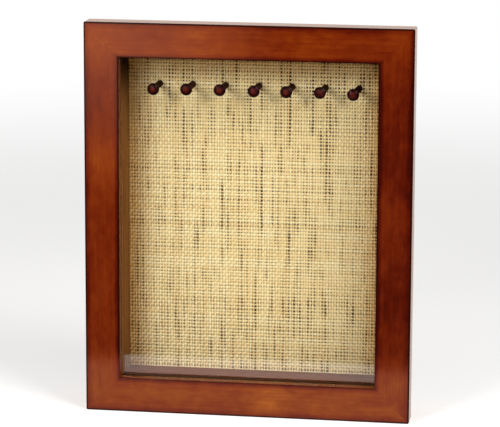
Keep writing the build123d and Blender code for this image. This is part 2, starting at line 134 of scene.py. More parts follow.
def pattern(tree, place, size, detail=2.0, roughness=0.5, shift=(0, 0, 0)):
    """Noise with features of about that size in millimetres along X, Y and Z, shifted by so many of them."""
    scale = [1 / (millimetres * MM) for millimetres in size]
    mapping = add(tree, "Mapping", {"Vector": place, "Location": shift, "Scale": scale})
    return add(tree, "TexNoise", {"Vector": mapping, "Scale": 1.0, "Detail": detail, "Roughness": roughness})


def finish_material(tree, output, shader, height=None, depth=0.0):
    """Link a shader to the output, with a bump of that depth in millimetres if there is a height."""
    if height is not None:
        bump = add(tree, "Bump", {"Height": height, "Strength": 1.0, "Distance": depth * MM})
        tree.links.new(bump.outputs[0], shader.inputs["Normal"])
    tree.links.new(shader.outputs[0], output.inputs[0])


def along_grain(axis, long, across):
    """A pattern's size that is long down the grain, which runs along that axis, and short across it."""
    return [long if part == axis else across for part in "XYZ"]


# ---- Materials ----
# Where the frame is paler (above 0) or darker (below 0): X and Z in millimetres, radius, change of tone. Some
# are thin or thick stain; the paler places along the top rail are a painted sheen from the light above, and
# the darker places down the right stile are painted shade.
STAIN_AND_LIGHT_PLACES = [
    (-140, 356, 80, 0.22), (-40, 352, 62, 0.25), (-137, 240, 34, 0.2), (62, 352, 40, 0.12),
    (20, 16, 30, 0.18), (137, 112, 80, -0.2), (137, 250, 90, -0.24), (137, 330, 60, -0.16),
    (-137, 312, 44, -0.14), (137, 172, 30, -0.1), (137, 66, 26, -0.08), (146, 356, 60, 0.14)]
SHEEN_CORNER = (-125 * MM, door_low.y, 372 * MM)
SHEEN_REACH = 170 * MM
PALER_FOOT = (34 * MM, 68 * MM)
SILL_FADE = (45 * MM, 60 * MM)
FRAME_TONE = -0.19
FRONT_ARRIS = (door_low.y + 0.9 * MM, door_low.y + 2 * MM)
PANE_CORNER = (pane_front - 2.2 * MM, pane_front - MM)


def stained_frame_wood(name, axis):
    """Close-grained hardwood with a sprayed mahogany stain and a satin lacquer. It darkens in lines along the
    arrises and by the pane, partly stain gathered there and partly painted shade. It is paler along the foot
    of the frame and lighter by the top-left corner, where a painted sheen lies, and the stain lies in soft
    long clouds. The outer faces are painted paler in streaks along the grain, a painted reflection of the
    bright room they face."""
    material, tree, output = new_material(name)
    place = add(tree, "TexCoord").outputs["Object"]
    x, y, z = add(tree, "SeparateXYZ", [place]).outputs
    across = add(tree, "Math", [x], operation="ABSOLUTE")
    off_middle = add(tree, "Math", [z, middle_z], operation="SUBTRACT")
    up = add(tree, "Math", [off_middle], operation="ABSOLUTE")
    from_side = add(tree, "Math", [half_width, across], operation="SUBTRACT")
    from_end = add(tree, "Math", [half_height, up], operation="SUBTRACT")
    from_outside = add(tree, "Math", [from_side, from_end], operation="MINIMUM")
    from_sight = add(tree, "Math", [rail_width, from_outside], operation="SUBTRACT")
    aslant = add(tree, "Math", [from_side, from_end], operation="SUBTRACT")
    off_mitre = add(tree, "Math", [aslant], operation="ABSOLUTE")
    clouds = pattern(tree, place, along_grain(axis, 60, 24), detail=3.0)
    mottle = pattern(tree, place, along_grain(axis, 14, 8), detail=4.0, roughness=0.6)
    streaks = pattern(tree, place, along_grain(axis, 55, 2.2), detail=3.0, roughness=0.6)
    pores = pattern(tree, place, along_grain(axis, 5, 0.35))

    # The faces that a band lies on: the front, the front with less of it low down on the sill, the lip by the
    # pane, and all other faces, plain or in the streaks of painted reflection.
    on_front = add(tree, "MapRange", [y, *FRONT_ARRIS, 1, 0], **EASED)
    off_front = add(tree, "Math", [1.0, on_front], operation="SUBTRACT")
    line_on_sill = add(tree, "MapRange", [z, *SILL_FADE, 0.4, 0.85], **EASED)
    front_above_sill = add(tree, "Math", [line_on_sill, on_front], operation="MULTIPLY")
    at_pane = add(tree, "MapRange", [y, *PANE_CORNER], **EASED)
    thin_streaks = add(tree, "MapRange", [streaks, 0.3, 0.7, 0.3, 0.8], **EASED)
    reflection_streaks = add(tree, "Math", [thin_streaks, off_front], operation="MULTIPLY")
    bands = []
    # What each band is measured from, where it begins to fade and ends in millimetres, its strength, and the
    # faces that it lies on.
    for distance, start, stop, strength, faces in (
            (from_outside, 0, 8, 1, on_front), (from_sight, 0, 6, 1, on_front),
            (from_outside, 0, 1, 1, reflection_streaks), (from_outside, 0.8, 2.2, 1, on_front),
            (from_sight, 0.5, 2.2, 1, front_above_sill), (from_sight, 0.3, 1, 0.25, off_front),
            (from_sight, 1, 2, 1, at_pane)):
        near = add(tree, "MapRange", [distance, start * MM, stop * MM, strength, 0], **EASED)
        bands.append(add(tree, "Math", [near, faces], operation="MULTIPLY"))
    # The last four bands are dark lines along the arrises and by the pane: partly stain gathered there, and
    # partly painted shade in the arris and in the corner by the pane.
    outer_band, sight_band, painted_side_reflection, stain_and_shade_lines, *dark_lines = bands
    for line in dark_lines:
        stain_and_shade_lines = add(tree, "Math", [stain_and_shade_lines, line], operation="MAXIMUM")

    foot = add(tree, "MapRange", [z, *PALER_FOOT, 1, 0], **EASED)
    mitre = add(tree, "MapRange", [off_mitre, 0.1 * MM, 0.5 * MM, 1, 0], **EASED)
    open_pores = add(tree, "MapRange", [pores, 0.3, 0.45, 1, 0], **EASED)
    shares = [(clouds, 0.42), (mottle, 0.52), (streaks, 0.32), (foot, 0.24), (outer_band, -0.3),
              (sight_band, -0.45), (mitre, -0.06), (open_pores, -0.06)]
    flat = add(tree, "CombineXYZ", {"X": x, "Z": z})
    for spot_x, spot_z, radius, amount in STAIN_AND_LIGHT_PLACES:
        spot = (spot_x * MM, 0, spot_z * MM)
        away = add(tree, "VectorMath", [flat, spot], operation="DISTANCE").outputs["Value"]
        shares.append((add(tree, "MapRange", [away, 0, radius * MM, 1, 0], **EASED), amount))
    tone = FRAME_TONE
    for part, share in shares:
        tone = add(tree, "Math", [part, share, tone], operation="MULTIPLY_ADD")
    colour = add(tree, "ValToRGB", [tone], stops=[
        (0.0, "#380601"), (0.2, "#521101"), (0.4, "#661E02"), (0.6, "#762B04"), (0.8, "#863C06"),
        (1.0, "#9C500E")])
    # Painted sheen: paler and pinker towards the top-left corner, standing in for the gleam of the light from
    # the upper left.
    off_corner = add(tree, "VectorMath", [place, SHEEN_CORNER], operation="DISTANCE").outputs["Value"]
    bloom = add(tree, "MapRange", [off_corner, 0, SHEEN_REACH, 0.14, 0], **EASED)
    # Over the stain go the painted sheen by the corner, a painted reflection in streaks on the outer faces,
    # and the dark lines of stain and painted shade.
    for share, code in ((bloom, "#C07F65"), (painted_side_reflection, "#C49268"), (stain_and_shade_lines, "#240500")):
        mixed = add(tree, "Mix", {SHARE: share, UNDER: colour, OVER: linear(code)}, **COLOURS)
        colour = mixed.outputs[MIXED]
    # The dark lines show less of the lacquer's gloss.
    lacquer = add(tree, "Math", [stain_and_shade_lines, -0.24, 0.28], operation="MULTIPLY_ADD")
    rough = add(tree, "Math", [clouds, 0.1, 0.22], operation="MULTIPLY_ADD")
    principled = add(tree, "BsdfPrincipled", {
        "Base Color": colour, "Roughness": rough, "IOR": 1.5, "Specular IOR Level": 0.05,
        "Coat Weight": lacquer, "Coat Roughness": 0.12, "Coat IOR": 1.5})
    raised_streaks = add(tree, "Math", [streaks, 0.7], operation="MULTIPLY")
    height = add(tree, "Math", [pores, 0.3, raised_streaks], operation="MULTIPLY_ADD")
    finish_material(tree, output, principled, height, depth=0.03)
    return material


MAHOGANY = ("#6A2408", "#8E4416", "#AA6234")
LINER_UPRIGHT_BROWN = ("#5C3310", "#7A4C22", "#8C5D30")
LINER_LEVEL_BROWN = ("#54240A", "#683014", "#784020")
SHADED_BEAD_BROWN = ("#1E0C04", "#2C1408", "#3E2010")
TOP_SHADOW_SPAN = (280 * MM, 338 * MM)


def stained_board(name, axis, browns, roughness, gloss, shadowed_top=0.0):
    """Plain sawn and sanded board with a wiped stain: fine streaks down the grain and a few broader bands.
    The top may be painted nearly black, a painted shadow from the rail above it."""
    material, tree, output = new_material(name)
    place = add(tree, "TexCoord").outputs["Object"]
    bands = pattern(tree, place, along_grain(axis, 160, 14), detail=3.0)
    streaks = pattern(tree, place, along_grain(axis, 50, 1.4), detail=3.0, roughness=0.6)
    pores = pattern(tree, place, along_grain(axis, 4, 0.3))
    open_pores = add(tree, "MapRange", [pores, 0.3, 0.45], **EASED)
    tone = add(tree, "Math", [streaks, 0.45], operation="MULTIPLY")
    for part, share in ((bands, 0.55), (open_pores, 0.08)):
        tone = add(tree, "Math", [part, share, tone], operation="MULTIPLY_ADD")
    colour = add(tree, "ValToRGB", [tone], stops=list(zip((0.3, 0.55, 0.8), browns)))
    # Painted shadow: nearly black towards the top of the board, where the top rail shades it.
    if shadowed_top:
        up = add(tree, "SeparateXYZ", [place]).outputs["Z"]
        top_shadow = add(tree, "MapRange", [up, *TOP_SHADOW_SPAN, 0, shadowed_top], **EASED)
        mixed = add(tree, "Mix", {SHARE: top_shadow, UNDER: colour, OVER: linear("#120701")}, **COLOURS)
        colour = mixed.outputs[MIXED]
    rough = add(tree, "Math", [streaks, 0.15, roughness], operation="MULTIPLY_ADD")
    principled = add(tree, "BsdfPrincipled", {
        "Base Color": colour, "Roughness": rough, "IOR": 1.5, "Specular IOR Level": gloss,
        "Coat Weight": gloss, "Coat Roughness": 0.2})
    height = add(tree, "Math", [pores, streaks], operation="ADD")
    finish_material(tree, output, principled, height, depth=0.05)
    return material


HEAD_FACE = (MM, 3.5 * MM)
SHANK_FROM = (6 * MM, 11 * MM)
ROOT_SHADOW_SPAN = (peg_length - 3 * MM, peg_length - MM)


def turned_peg_wood(number, centre, radius):
    """Small turned birch peg, dipped in a dark red stain: nearly black at the rim of the head, and painted
    lighter and redder at its middle, a painted sheen on the head's face. The head is waxed, and the shank is
    dull and browner, with a nearly black painted shadow where it meets the cloth."""
    material, tree, output = new_material(f"turned_birch_dark_red_{number}")
    place = add(tree, "TexCoord").outputs["Object"]
    centred = add(tree, "Mapping", {"Vector": place, "Location": [-part for part in centre]})
    x, y, z = add(tree, "SeparateXYZ", [centred]).outputs
    flat = add(tree, "CombineXYZ", {"X": x, "Z": z})
    from_axis = add(tree, "VectorMath", [flat], operation="LENGTH").outputs["Value"]
    on_face = add(tree, "MapRange", [y, *HEAD_FACE, 1, 0], **EASED)
    inside_rim = add(tree, "MapRange", [from_axis, 0.2 * radius, 0.85 * radius, 1, 0], **EASED)
    # Painted sheen: the middle of the head's face is painted lighter and redder, standing in for the gleam on
    # its dome.
    middle = add(tree, "Math", [inside_rim, on_face], operation="MULTIPLY")
    fibres = pattern(tree, place, (0.5, 9, 0.5), detail=3.0, roughness=0.6, shift=(number * 3.1, 0, 0))
    blotch = pattern(tree, place, (3, 6, 3), shift=(0, number * 1.7, 0))
    tone = add(tree, "Math", [blotch, 0.5], operation="MULTIPLY")
    for part, share in ((fibres, 0.3), (middle, 0.4)):
        tone = add(tree, "Math", [part, share, tone], operation="MULTIPLY_ADD")
    colour = add(tree, "ValToRGB", [tone], stops=[
        (0.2, "#0C0202"), (0.45, "#240706"), (0.7, "#40100B"), (1.0, "#6A2418")])
    on_shank = add(tree, "MapRange", [y, *SHANK_FROM], **EASED)
    browner = add(tree, "Math", [on_shank, 0.6], operation="MULTIPLY")
    # Painted shadow: the last millimetres of the shank by the cloth are nearly black.
    root_shadow = add(tree, "MapRange", [y, *ROOT_SHADOW_SPAN], **EASED)
    for share, code in ((browner, "#4E2810"), (root_shadow, "#120403")):
        mixed = add(tree, "Mix", {SHARE: share, UNDER: colour, OVER: linear(code)}, **COLOURS)
        colour = mixed.outputs[MIXED]
    rough = add(tree, "Math", [blotch, 0.15, 0.28], operation="MULTIPLY_ADD")
    rough = add(tree, "Math", [on_shank, 0.4, rough], operation="MULTIPLY_ADD")
    wax = add(tree, "Math", [on_shank, -0.07, 0.07], operation="MULTIPLY_ADD")
    principled = add(tree, "BsdfPrincipled", {
        "Base Color": colour, "Roughness": rough, "IOR": 1.5, "Specular IOR Level": 0.03, "Coat Weight": wax,
        "Coat Roughness": 0.2})
    finish_material(tree, output, principled, fibres, depth=0.05)
    return material


CLOTH_SIDE_SHADE = (5 * MM, 34 * MM)
CLOTH_TOP_SHADE = (10 * MM, 42 * MM)


def jute_yarn(name, axis, hollow_shade_share):
    """Undyed jute, loosely spun and woven: matt straw-gold yarn, with paler and browner lengths and fine
    fibres that run along it. The hollows of the weave are painted browner, a painted shade, and so are the
    sides and the top of the cloth, a painted shade from the frame's walls."""
    material, tree, output = new_material(name)
    place = add(tree, "TexCoord").outputs["Object"]
    yarn_tone = add(tree, "Attribute", attribute_name="tone").outputs["Fac"]
    crown = add(tree, "Attribute", attribute_name="crown").outputs["Fac"]
    lengths = pattern(tree, place, along_grain(axis, 22, 1.6))
    fibres = pattern(tree, place, along_grain(axis, 3, 0.22), detail=3.0, roughness=0.65)
    tone = add(tree, "Math", [yarn_tone, 0.4], operation="SUBTRACT")
    for part, share in ((lengths, 0.5), (fibres, 0.3)):
        tone = add(tree, "Math", [part, share, tone], operation="MULTIPLY_ADD")
    colour = add(tree, "ValToRGB", [tone], stops=[
        (0.05, "#E8C080"), (0.35, "#FADCA2"), (0.6, "#FFEAB8"), (0.95, "#FFF8D8")])
    # Painted shade: the yarn turns dark brown where its crown is low, at its edges, beside wide gaps and
    # where it passes behind.
    painted_hollow_shade = add(tree, "MapRange", [crown, -0.6, 0.7, hollow_shade_share, 0], **EASED)
    mixed = add(tree, "Mix", {SHARE: painted_hollow_shade, UNDER: colour, OVER: linear("#7A4200")}, **COLOURS)
    x, _, z = add(tree, "SeparateXYZ", [place]).outputs
    from_left = add(tree, "Math", [x, cloth_low.x], operation="SUBTRACT")
    from_right = add(tree, "Math", [cloth_high.x, x], operation="SUBTRACT")
    from_side = add(tree, "Math", [from_left, from_right], operation="MINIMUM")
    from_top = add(tree, "Math", [cloth_high.z, z], operation="SUBTRACT")
    # Painted shade: the cloth is darkened and browned along its sides and its top, where the frame's walls
    # shade it.
    for distance, reach, code in ((from_side, CLOTH_SIDE_SHADE, "#D6B890"), (from_top, CLOTH_TOP_SHADE, "#E4CAA8")):
        edge_shade = add(tree, "MapRange", [distance, *reach, 1, 0], **EASED)
        mixed = add(tree, "Mix", {SHARE: edge_shade, UNDER: mixed.outputs[MIXED], OVER: linear(code)},
                    blend_type="MULTIPLY", **COLOURS)
    rough = add(tree, "Math", [fibres, 0.2, 0.6], operation="MULTIPLY_ADD")
    principled = add(tree, "BsdfPrincipled", {
        "Base Color": mixed.outputs[MIXED], "Roughness": rough, "IOR": 1.5, "Specular IOR Level": 0.1})
    finish_material(tree, output, principled, fibres, depth=0.1)
    return material


def float_glass(name):
    """Clear float glass: colourless head on, and a plain mirror of whatever is bright before it. Light that
    only goes through it passes straight on."""
    material, tree, output = new_material(name)
    place = add(tree, "TexCoord").outputs["Object"]
    film = pattern(tree, place, (60, 60, 25))
    mixed = add(tree, "Mix", {SHARE: film, UNDER: linear("#FBFDFC"), OVER: linear("#FFFFFF")}, **COLOURS)
    glass = add(tree, "BsdfPrincipled", {
        "Base Color": mixed.outputs[MIXED], "Roughness": 0.0, "IOR": 1.5, "Transmission Weight": 1.0})
    ray = add(tree, "LightPath").outputs
    passing = add(tree, "Math", [ray["Is Shadow Ray"], ray["Is Diffuse Ray"]], operation="MAXIMUM")
    clear = add(tree, "BsdfTransparent", {"Color": linear("#FAFCFB")})
    both = add(tree, "MixShader", [passing, glass, clear])
    finish_material(tree, output, both)
    return material


SCREEN_PITCH = 1.3 * MM


def pressed_board(name, dark, light, screen_depth):
    """Pressed wood fibre: short felted fibres in every direction, and on the back of hardboard the print of
    the press screen."""
    material, tree, output = new_material(name)
    place = add(tree, "TexCoord").outputs["Object"]
    flecks = pattern(tree, place, (1.6, 1.6, 1.6), detail=4.0, roughness=0.7)
    clouds = pattern(tree, place, (30, 30, 30))
    tone = add(tree, "Math", [clouds, 0.4], operation="MULTIPLY")
    tone = add(tree, "Math", [flecks, 0.6, tone], operation="MULTIPLY_ADD")
    colour = add(tree, "ValToRGB", [tone], stops=[(0.35, dark), (0.65, light)])
    x, _, z = add(tree, "SeparateXYZ", [place]).outputs
    waves = []
    for along in (x, z):
        turned = add(tree, "Math", [along, 2 * math.pi / SCREEN_PITCH], operation="MULTIPLY")
        waves.append(add(tree, "Math", [turned], operation="SINE"))
    screen = add(tree, "Math", waves, operation="MULTIPLY")
    height = add(tree, "Math", [screen, screen_depth, flecks], operation="MULTIPLY_ADD")
    rough = add(tree, "Math", [flecks, 0.2, 0.65], operation="MULTIPLY_ADD")
    principled = add(tree, "BsdfPrincipled", {
        "Base Color": colour, "Roughness": rough, "IOR": 1.5, "Specular IOR Level": 0.1})
    finish_material(tree, output, principled, height, depth=0.15)
    return material


def metal(name, colour, worn, size, roughness):
    """A plated or rolled metal: bright, with fine lines from the rolls and duller handled patches."""
    material, tree, output = new_material(name)
    place = add(tree, "TexCoord").outputs["Object"]
    lines = pattern(tree, place, size, roughness=0.6)
    patches = pattern(tree, place, (5, 5, 5), detail=3.0)
    handled = add(tree, "MapRange", [patches, 0.4, 0.7], **EASED)
    mixed = add(tree, "Mix", {SHARE: handled, UNDER: linear(colour), OVER: linear(worn)}, **COLOURS)
    rough = add(tree, "Math", [patches, 0.2, roughness - 0.15], operation="MULTIPLY_ADD")
    rough = add(tree, "Math", [lines, 0.18, rough], operation="MULTIPLY_ADD")
    principled = add(tree, "BsdfPrincipled", {
        "Base Color": mixed.outputs[MIXED], "Metallic": 1.0, "Roughness": rough})
    finish_material(tree, output, principled, lines, depth=0.01)
    return material


def moulded_rubber(name):
    """Black rubber from a mould: dull, with a fine even grain and a grey bloom."""
    material, tree, output = new_material(name)
    place = add(tree, "TexCoord").outputs["Object"]
    grain = pattern(tree, place, (0.4, 0.4, 0.4))
    bloom = pattern(tree, place, (6, 6, 6), detail=3.0)
    grey = add(tree, "MapRange", [bloom, 0.35, 0.75], **EASED)
    mixed = add(tree, "Mix", {SHARE: grey, UNDER: linear("#17171A"), OVER: linear("#2B2A2A")}, **COLOURS)
    rough = add(tree, "Math", [bloom, 0.2, 0.55], operation="MULTIPLY_ADD")
    principled = add(tree, "BsdfPrincipled", {
        "Base Color": mixed.outputs[MIXED], "Roughness": rough, "IOR": 1.52})
    finish_material(tree, output, principled, grain, depth=0.03)
    return material


def wool_felt(name, dark, light):
    """Pressed wool felt, cut from sheet: a soft tangle of fibres with no direction, and a pale fuzz."""
    material, tree, output = new_material(name)
    place = add(tree, "TexCoord").outputs["Object"]
    tangle = pattern(tree, place, (0.5, 0.5, 0.5), detail=4.0, roughness=0.7)
    tufts = pattern(tree, place, (2.2, 2.2, 2.2))
    tone = add(tree, "Math", [tufts, 0.4], operation="MULTIPLY")
    tone = add(tree, "Math", [tangle, 0.6, tone], operation="MULTIPLY_ADD")
    colour = add(tree, "ValToRGB", [tone], stops=[(0.35, dark), (0.65, light)])
    rough = add(tree, "Math", [tangle, 0.15, 0.8], operation="MULTIPLY_ADD")
    principled = add(tree, "BsdfPrincipled", {
        "Base Color": colour, "Roughness": rough, "IOR": 1.5, "Sheen Weight": 0.4, "Sheen Roughness": 0.6})
    finish_material(tree, output, principled, tangle, depth=0.25)
    return material


def dress(material, *names):
    """Give CAD nodes a material."""
    for name in names:
        slots = nodes[name].data.materials
        slots.clear()
        slots.append(material)


dress(stained_frame_wood("stained_lacquered_hardwood_stile", "Z"), "door_left_stile", "door_right_stile")
dress(stained_frame_wood("stained_lacquered_hardwood_rail", "X"), "door_top_rail", "door_bottom_rail")
dress(stained_board("stained_pine_upright", "Z", MAHOGANY, roughness=0.42, gloss=0.1),
      "case_left_side", "case_right_side")
dress(stained_board("stained_pine_level", "X", MAHOGANY, roughness=0.42, gloss=0.1),
      "case_top", "case_bottom")
dress(stained_board("brown_stained_liner_upright", "Z", LINER_UPRIGHT_BROWN, roughness=0.6, gloss=0.05,
                    shadowed_top=0.95), "liner_left", "liner_right", "glazing_bead_left", "glazing_bead_right")
dress(stained_board("brown_stained_liner_level", "X", LINER_LEVEL_BROWN, roughness=0.6, gloss=0.05),
      "liner_top", "liner_bottom")
# Painted shade: the top and bottom beads are coloured nearly black to stand for the shade beside the pane's
# edge.
dress(stained_board("bead_in_painted_shade", "X", SHADED_BEAD_BROWN, roughness=0.6, gloss=0.05),
      "glazing_bead_top", "glazing_bead_bottom")
for number, name in enumerate(peg_names, 1):
    low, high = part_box(name)
    head_radius = (high.z - low.z) / 2
    head = Vector((low.x + head_radius, low.y, low.z + head_radius))
    dress(turned_peg_wood(number, head, head_radius), name)
dress(pressed_board("brown_stained_fibreboard", "#2C1E03", "#422C06", screen_depth=0.0), "peg_board")
dress(pressed_board("screen_backed_hardboard", "#5F4128", "#8A6746", screen_depth=0.5), "back_panel")
dress(float_glass("clear_float_glass"), "glass_pane")
dress(metal("rolled_brass", "#D9B25A", "#B58A3C", size=(0.2, 0.2, 6), roughness=0.3),
      "hinge_upper_case_leaf", "hinge_upper_door_leaf", "hinge_lower_case_leaf", "hinge_lower_door_leaf",
      "hinge_upper_pin", "hinge_lower_pin", "hinge_case_screws", "hinge_door_screws")
dress(metal("nickel_plate", "#D6D3CC", "#AFAAA2", size=(2, 2, 2), roughness=0.22), "catch_magnets")
dress(metal("zinc_plated_steel", "#C9CBCC", "#9A9B9A", size=(1, 1, 4), roughness=0.38),
      "strike_plates", "strike_screws", "hanger_left", "hanger_right", "hanger_pins", "foot_screws",
      "corner_v_nails", "case_corner_pins", "back_panel_pins")
dress(metal("blued_steel", "#3A3330", "#241E1C", size=(1, 1, 4), roughness=0.45), "glazing_bead_pins")
dress(moulded_rubber("moulded_black_rubber"), "rear_feet")


# ---- New pieces ----
def new_object(name, shape, material):
    """An object from a bmesh, in the scene."""
    mesh = bpy.data.meshes.new(name)
    shape.to_mesh(mesh)
    shape.free()
    mesh.materials.append(material)
    made = bpy.data.objects.new(name, mesh)
    bpy.context.scene.collection.objects.link(made)
    return made


def new_piece(name, shape, material, body):
    """A smooth shown piece from a bmesh, riding on a body."""
    piece = new_object(name, shape, material)
    for polygon in piece.data.polygons:
        polygon.use_smooth = True
    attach(piece, body)
    return piece


# The cloth: two sets of flat yarns that cross over and under each other at shared points. Warps run up the
# cloth and wefts across it. The wefts nearly touch, and the thinner warps have slid a little, together here
# and apart there, so that the holes between them stand in short columns. The real cloth has about 111 warps
# and 114 wefts, which is too fine to show, so both are drawn a seventh coarser.
WARP_PITCH = 2.65 * MM
WEFT_PITCH = 3.15 * MM
WARP_WIDTH = 2.15 * MM
WEFT_WIDTH = 2.8 * MM
YARN_THICKNESS = 0.36 * MM
YARN_SWING = 0.14 * MM
YARN_SIDES = 6

# How unevenly the yarns are laid, as a share of their spacing, and how their tones differ.
WARP_UNEVEN = 0.1
WEFT_UNEVEN = 0.2
DARKEST_YARN = 0.25
TONE_SPREAD = 0.3

# How far the yarns beside an open place are pushed away, how long such a place is, how open it is at the
# most, how many yarns on either side it pushes, and over how many its push fades. Some places stand alone
# and some in groups of a few yarns. The step and the seeds only keep one use of the noise from being like
# the next.
WARP_PARTING = 2.3 * MM
WEFT_PARTING = 0.6 * MM
SINGLE_LENGTH = 40 * MM
GROUP_LENGTH = 1.3 * SINGLE_LENGTH
GROUP_YARNS = 3.3
SINGLE_SHARE = 0.8
GROUP_SHARE = 0.6
USUAL_OPENING = 0.08
WIDEST_OPENING = 0.31
YARNS_PUSHED = 5
YARNS_TO_FADE = 1.5
SINGLE_STEP = 5.37
GROUP_SEED = 10
WARP_PARTING_SEED, WEFT_PARTING_SEED = 2.5, 7.5

# The small shake in the yarns' lines: how far, and over what length across and along them.
WARP_SHIVER = 0.25 * MM
WEFT_SHIVER = 0.125 * MM
SHIVER_ACROSS = 3.4 * MM
WARP_SHIVER_ALONG = 9 * MM
WEFT_SHIVER_ALONG = 14 * MM
WARP_SHIVER_SEED, WEFT_SHIVER_SEED = 4.5, 9.5

# Slubs are the thicker and thinner lengths of hand-spun yarn. A weft narrows where the warps stand apart: by
# what share, from how many times their usual spacing, and how soon. A squeezed yarn keeps just clear of the
# next.
WARP_SLUBS = 0.5
WEFT_SLUBS = 0.2
SLUB_LENGTH = 16 * MM
SLUB_STEP = 3.7
SLUB_SEED = 1.5
WEFT_NARROWS = 0.6
LOOSE_FROM = 1.03
LOOSE_RISE = 4
SQUEEZED = 0.97

# The attribute "crown" is 1 along the middle of a yarn where it lies in front, and 0 where it lies behind. It
# falls towards the edges, and more so beside a wide gap. The yarn material paints shade where it is low.
EDGE_FALL = 0.3
GAP_FALL = 4


def yarn_lines(low, high, pitch, uneven):
    """Where yarns lie across the cloth, nearly evenly."""
    count = round((high - low) / pitch)
    gaps = [1 + uneven * (draw.random() - 0.5) for _ in range(count - 1)]
    scale = (high - low - pitch) / sum(gaps)
    lines = [low + pitch / 2]
    for gap in gaps:
        lines.append(lines[-1] + gap * scale)
    return lines


def parted(yarn, along, seed):
    """How far a yarn is pushed over by the places near it where two neighbours stand apart."""
    push = 0
    for gap in range(yarn - YARNS_PUSHED, yarn + YARNS_PUSHED):
        single = noise.noise(Vector((gap * SINGLE_STEP, along / SINGLE_LENGTH, seed)))
        group = noise.noise(Vector((gap / GROUP_YARNS, along / GROUP_LENGTH, seed + GROUP_SEED)))
        opened = SINGLE_SHARE * single + USUAL_OPENING + GROUP_SHARE * group
        if opened > 0:
            away = yarn - gap - 0.5
            half_gap = 0.5 * min(opened, WIDEST_OPENING)
            push += math.copysign(half_gap * math.exp(-abs(away) / YARNS_TO_FADE), away)
    return push


def crossing_points():
    """The point where each warp meets each weft."""
    points = []
    for across, x in enumerate(warp_lines):
        column = []
        for up, z in enumerate(weft_lines):
            warp_shake = noise.noise(Vector((x / SHIVER_ACROSS, z / WARP_SHIVER_ALONG, WARP_SHIVER_SEED)))
            weft_shake = noise.noise(Vector((z / SHIVER_ACROSS, x / WEFT_SHIVER_ALONG, WEFT_SHIVER_SEED)))
            column.append((
                x + parted(across, z, WARP_PARTING_SEED) * WARP_PARTING + WARP_SHIVER * warp_shake,
                z + parted(up, x, WEFT_PARTING_SEED) * WEFT_PARTING + WEFT_SHIVER * weft_shake))
        points.append(column)
    return points


def plain_yarns(count, rings):
    """That many six-sided tubes of radius 1, one unit from ring to ring, each centred on the origin."""
    blank_shape = bmesh.new()
    bmesh.ops.create_cone(blank_shape, cap_ends=True, segments=YARN_SIDES, radius1=1, radius2=1,
                          depth=rings - 1)
    long_edges = [e for e in blank_shape.edges if abs(e.verts[0].co.z - e.verts[1].co.z) > 0.5]
    bmesh.ops.subdivide_edges(blank_shape, edges=long_edges, cuts=rings - 2)
    blank = bpy.data.meshes.new("yarn_blank")
    blank_shape.to_mesh(blank)
    blank_shape.free()
    shape = bmesh.new()
    for _ in range(count):
        shape.from_mesh(blank)
    bpy.data.meshes.remove(blank)
    return shape


def yarns(paths, along_x, width, slubs, narrows, pitch, step, tones):
    """Yarns through rows of points: a flat six-sided section that swings front and back at each crossing.
    Each keeps its own width, but is squeezed where its neighbours come close, and may be narrower where the
    yarns that press on it stand apart. The pitch is the usual distance to the next yarn, and the step that
    to the next crossing."""
    rings = len(paths[0])
    shape = plain_yarns(len(paths), rings)
    each = len(shape.verts) // len(paths)
    tone = shape.verts.layers.float.new("tone")
    crown = shape.verts.layers.float.new("crown")
    middle_y = (cloth_low.y + cloth_high.y) / 2
    side = 1 if along_x else 0
    for index, vertex in enumerate(shape.verts):
        row, ring = index // each, round(vertex.co.z + (rings - 1) / 2)
        point = paths[row][ring]
        here, along = point[side], point[1 - side]
        room = min(abs(here - paths[near][ring][side]) for near in (row - 1, row + 1)
                   if 0 <= near < len(paths))
        reach = max(abs(along - paths[row][near][1 - side]) for near in (ring - 1, ring + 1)
                    if 0 <= near < rings)
        slub = 1 + slubs * noise.noise(Vector((along / SLUB_LENGTH, row * SLUB_STEP, SLUB_SEED)))
        loose = min(1, max(0, reach / step - LOOSE_FROM) * LOOSE_RISE)
        half = min(width * slub * (1 - narrows * loose), room * SQUEEZED) / 2
        beside = row + (1 if vertex.co.x > 0 else -1)
        space = abs(here - paths[beside][ring][side]) / pitch - 1 if 0 <= beside < len(paths) else 0
        behind = (row + ring) % 2 == along_x
        vertex[tone] = tones[row]
        vertex[crown] = (0 if behind else 1) - (EDGE_FALL + GAP_FALL * max(0, space)) * vertex.co.x ** 2
        out, deep = vertex.co.x * half, vertex.co.y * YARN_THICKNESS / 2
        vertex.co = (
            point[0] + (0 if along_x else out),
            middle_y + (YARN_SWING if behind else -YARN_SWING) + deep,
            point[1] + (out if along_x else 0),
        )
    bmesh.ops.recalc_face_normals(shape, faces=shape.faces)
    return shape


warp_lines = yarn_lines(cloth_low.x, cloth_high.x, WARP_PITCH, WARP_UNEVEN)
weft_lines = yarn_lines(cloth_low.z, cloth_high.z, WEFT_PITCH, WEFT_UNEVEN)
lattice = crossing_points()
warp_tones = [DARKEST_YARN + TONE_SPREAD * draw.random() for _ in warp_lines]
weft_tones = [DARKEST_YARN + TONE_SPREAD * draw.random() for _ in weft_lines]
warp_shape = yarns(lattice, False, WARP_WIDTH, WARP_SLUBS, 0, WARP_PITCH, WEFT_PITCH, warp_tones)
weft_shape = yarns([list(row) for row in zip(*lattice)], True, WEFT_WIDTH, WEFT_SLUBS, WEFT_NARROWS,
                   WEFT_PITCH, WARP_PITCH, weft_tones)
warp_jute = jute_yarn("spun_jute_warp", "Z", hollow_shade_share=0.95)
weft_jute = jute_yarn("spun_jute_weft", "X", hollow_shade_share=0.85)
warp = new_piece("cloth_warp_yarns", warp_shape, warp_jute, "case")
weft = new_piece("cloth_weft_yarns", weft_shape, weft_jute, "case")
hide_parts("woven_cloth")
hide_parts("woven_cloth")


